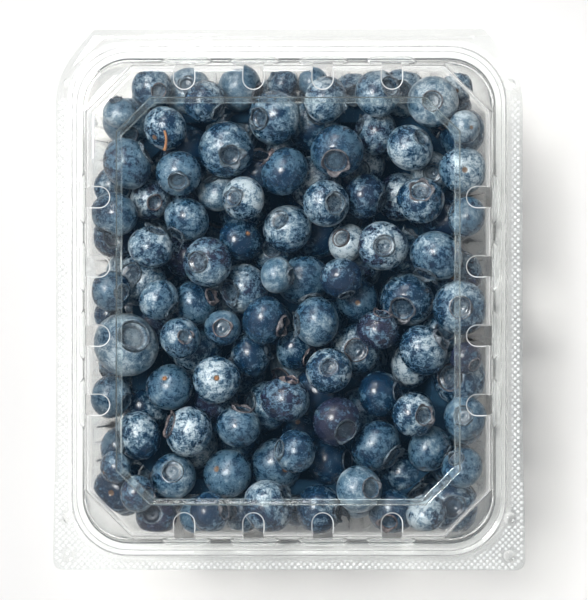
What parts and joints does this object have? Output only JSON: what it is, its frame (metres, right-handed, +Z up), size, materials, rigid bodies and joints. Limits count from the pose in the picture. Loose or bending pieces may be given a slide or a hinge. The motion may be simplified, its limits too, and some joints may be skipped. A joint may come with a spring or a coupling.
{
  "type": "punnet of blueberries",
  "caption": "Clear clamshell punnet filled with blueberries, with vent slots round its domed lid, a recessed eight-sided panel and a knurled flange; the lid folds open at the back.",
  "frame": {"origin": "under the middle of the shut punnet, at the height of the tray's foot", "axes": "+Z up; +Y towards the hinged back; +X to the punnet's right as seen from its front"},
  "size_m": [0.1272, 0.1457, 0.062],
  "materials": {
    "clear_sheet": "clear thin formed plastic sheet, glossy",
    "berries": "dark blue fruit skin with a pale waxy bloom"
  },
  "bodies": {
    "tray": {"tray": "clear_sheet", "berries": "berries"},
    "lid": {"lid": "clear_sheet", "lid_dome": "clear_sheet", "lid_panel": "clear_sheet"}
  },
  "joints": [
    {"name": "lid_hinge", "type": "hinge", "parent": "tray", "child": "lid", "pos_m": [0, 0.07335, 0.04415], "axis": [-1, 0, 0], "range_deg": [0, 180]}
  ]
}
